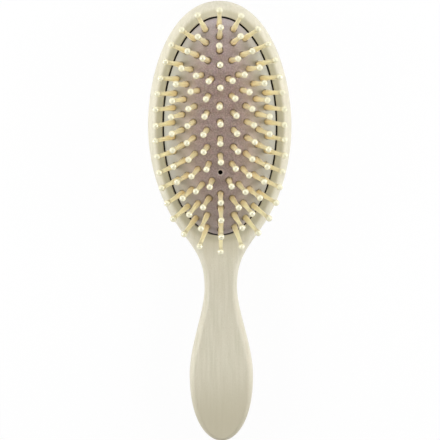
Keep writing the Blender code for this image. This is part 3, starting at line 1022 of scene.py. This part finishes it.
def make_pins(name, tree, finish, pins, outward, seed):
    """The turned pins of one node, with their foot plate, as one plain mesh."""
    feet = bpy.data.meshes.new(name + "_feet")
    feet.from_pydata([foot for foot, _ in pins], [], [])
    ways = feet.attributes.new("way", "FLOAT_VECTOR", "POINT")
    for number, (_, way) in enumerate(pins):
        ways.data[number].vector = way
    base = bpy.data.objects.new(name + "_feet", feet)
    bpy.context.scene.collection.objects.link(base)
    modifier = base.modifiers.new("pins", "NODES")
    modifier.node_group = tree
    set_inputs(modifier, {**PIN_SIZES, "Plate Way": tuple(outward), "Seed": seed, "Finish": finish})
    graph = bpy.context.evaluated_depsgraph_get()
    mesh = bpy.data.meshes.new_from_object(
        base.evaluated_get(graph), preserve_all_data_layers=True, depsgraph=graph
    )
    bpy.data.objects.remove(base, do_unlink=True)
    mesh.name = name
    piece = bpy.data.objects.new(name, mesh)
    bpy.context.scene.collection.objects.link(piece)
    return piece


# Stage


def seen_share(tree):
    """1 for rays that show the background, which are those of the camera, gloss and glass."""
    path = add(tree, "ShaderNodeLightPath").outputs
    seen = calculated(tree, "MAXIMUM", path["Is Camera Ray"], path["Is Glossy Ray"])
    return calculated(tree, "MAXIMUM", seen, path["Is Transmission Ray"])


def make_world():
    """A soft fill, brighter from below, that looks white, with a gap overhead that gloss shows as dark."""
    world = bpy.data.worlds.new("studio")
    world.use_nodes = True
    bpy.context.scene.world = world
    tree = world.node_tree
    tree.nodes.clear()
    way = add(tree, "ShaderNodeTexCoord").outputs["Generated"]
    up = add(tree, "ShaderNodeSeparateXYZ", {0: way}).outputs["Z"]
    above = calculated(tree, "GREATER_THAN", up, 0.0)
    fill = ranged(tree, above, 0.0, 1.0, FILL_FROM_BELOW, FILL_LIGHT)
    gap = ranged(tree, up, math.cos(CEILING_GAP_EDGE), math.cos(CEILING_GAP_DARKEST), smooth=True)
    gloss = add(tree, "ShaderNodeLightPath").outputs["Is Glossy Ray"]
    white = calculated(tree, "SUBTRACT", 1.0, calculated(tree, "MULTIPLY", gap, gloss))
    lit, shown = [
        add(tree, "ShaderNodeBackground", {"Color": (1, 1, 1, 1), "Strength": strength}).outputs[0]
        for strength in (fill, white)
    ]
    both = add(tree, "ShaderNodeMixShader", {0: seen_share(tree), 1: lit, 2: shown})
    add(tree, "ShaderNodeOutputWorld", {0: both.outputs[0]})


def make_floor():
    """A white floor that keeps a faint shadow, and is clear from below so that the flat back shows."""
    builder = bmesh.new()
    bmesh.ops.create_grid(builder, x_segments=1, y_segments=1, size=FLOOR_SIZE / 2)
    mesh = bpy.data.meshes.new("floor")
    builder.to_mesh(mesh)
    builder.free()
    floor = bpy.data.objects.new("floor", mesh)
    floor.location.z = -FLOOR_GAP
    bpy.context.scene.collection.objects.link(floor)
    finish = bpy.data.materials.new("white_floor")
    finish.use_nodes = True
    tree = finish.node_tree
    tree.nodes.clear()
    lit = add(tree, "ShaderNodeBsdfDiffuse", {"Color": (FLOOR_GREY, FLOOR_GREY, FLOOR_GREY, 1)})
    white = add(tree, "ShaderNodeEmission", {"Color": (1, 1, 1, 1), "Strength": 1.0})
    share = calculated(tree, "MULTIPLY", seen_share(tree), FLOOR_WHITE_SHARE)
    both = add(tree, "ShaderNodeMixShader", {0: share, 1: lit.outputs[0], 2: white.outputs[0]})
    from_below = add(tree, "ShaderNodeNewGeometry").outputs["Backfacing"]
    reach = add(tree, "ShaderNodeLightPath").outputs["Ray Length"]
    under_brush = calculated(tree, "LESS_THAN", reach, FLOOR_REACH)
    clear = calculated(tree, "MAXIMUM", from_below, under_brush)
    nothing = add(tree, "ShaderNodeBsdfTransparent")
    seen = add(tree, "ShaderNodeMixShader", {0: clear, 1: both.outputs[0], 2: nothing.outputs[0]})
    add(tree, "ShaderNodeOutputMaterial", {0: seen.outputs[0]})
    mesh.materials.append(finish)
    floor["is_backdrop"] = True


def softbox(name, place, size, power):
    """A wide soft lamp that faces the brush."""
    lamp = bpy.data.lights.new(name, "AREA")
    lamp.shape = "RECTANGLE"
    lamp.size, lamp.size_y = size
    lamp.energy = power
    thing = bpy.data.objects.new(name, lamp)
    thing.location = place
    aim = Vector((0, 0, BODY_THICKNESS)) - thing.location
    thing.rotation_euler = aim.to_track_quat("-Z", "Y").to_euler()
    bpy.context.scene.collection.objects.link(thing)


def make_camera():
    """Looks down on the brush from a little towards the crown and to the left."""
    data = bpy.data.cameras.new("camera")
    data.sensor_width = SENSOR_WIDTH_MM
    data.lens = SENSOR_WIDTH_MM * CAMERA_DISTANCE / FRAME_WIDTH_THERE
    camera = bpy.data.objects.new("camera", data)
    back = Vector((-math.sin(CAMERA_ASIDE), math.sin(CAMERA_TILT), math.cos(CAMERA_TILT)))
    back.normalize()
    right = Vector((0, 1, 0)).cross(back).normalized()
    turn = Matrix((right, back.cross(right), back)).transposed().to_4x4()
    turn = turn @ Matrix.Rotation(-CAMERA_ROLL, 4, "Z")
    camera.matrix_world = Matrix.Translation(CAMERA_LOOKS_AT + back * CAMERA_DISTANCE) @ turn
    bpy.context.scene.collection.objects.link(camera)
    bpy.context.scene.camera = camera


def make_stage():
    """World, floor, lamps and camera."""
    bpy.context.scene.view_settings.view_transform = "Standard"
    make_world()
    make_floor()
    for name, place, size, power in SOFTBOXES:
        softbox(name, place, size, power)
    make_camera()


def main():
    """Sets the stage and makes the body, the pins and the cushion that they stand in."""
    make_stage()
    body = make_body(fibre_wood())
    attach(body, "handle_body")
    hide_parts("brush_body")
    tree = pins_tree()
    finish = waxed_wood()
    every_pin = []
    pin_nodes = sorted(node for node in frame["nodes"] if "pin" in node)
    for seed, node in enumerate(pin_nodes):
        joint = body_joint(node)
        outward = -Vector(joint["axis"])
        travel = max(joint["range_m"])
        chance = random.Random(seed)
        pins = [(foot, swayed(way, chance)) for foot, way in pins_in(node, outward)]
        every_pin += [(foot, way, press_drift(way, outward, travel)) for foot, way in pins]
        piece = make_pins("turned_" + node, tree, finish, pins, outward, seed)
        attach(piece, node)
        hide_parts(node)
    cushion = make_cushion(rubber(), every_pin, vent_axis())
    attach(cushion, "handle_body")
    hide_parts("air_cushion")


main()
boxes = {"cad": cad_box, "visual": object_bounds()}
{name: [list(corner) for corner in box] for name, box in boxes.items()}
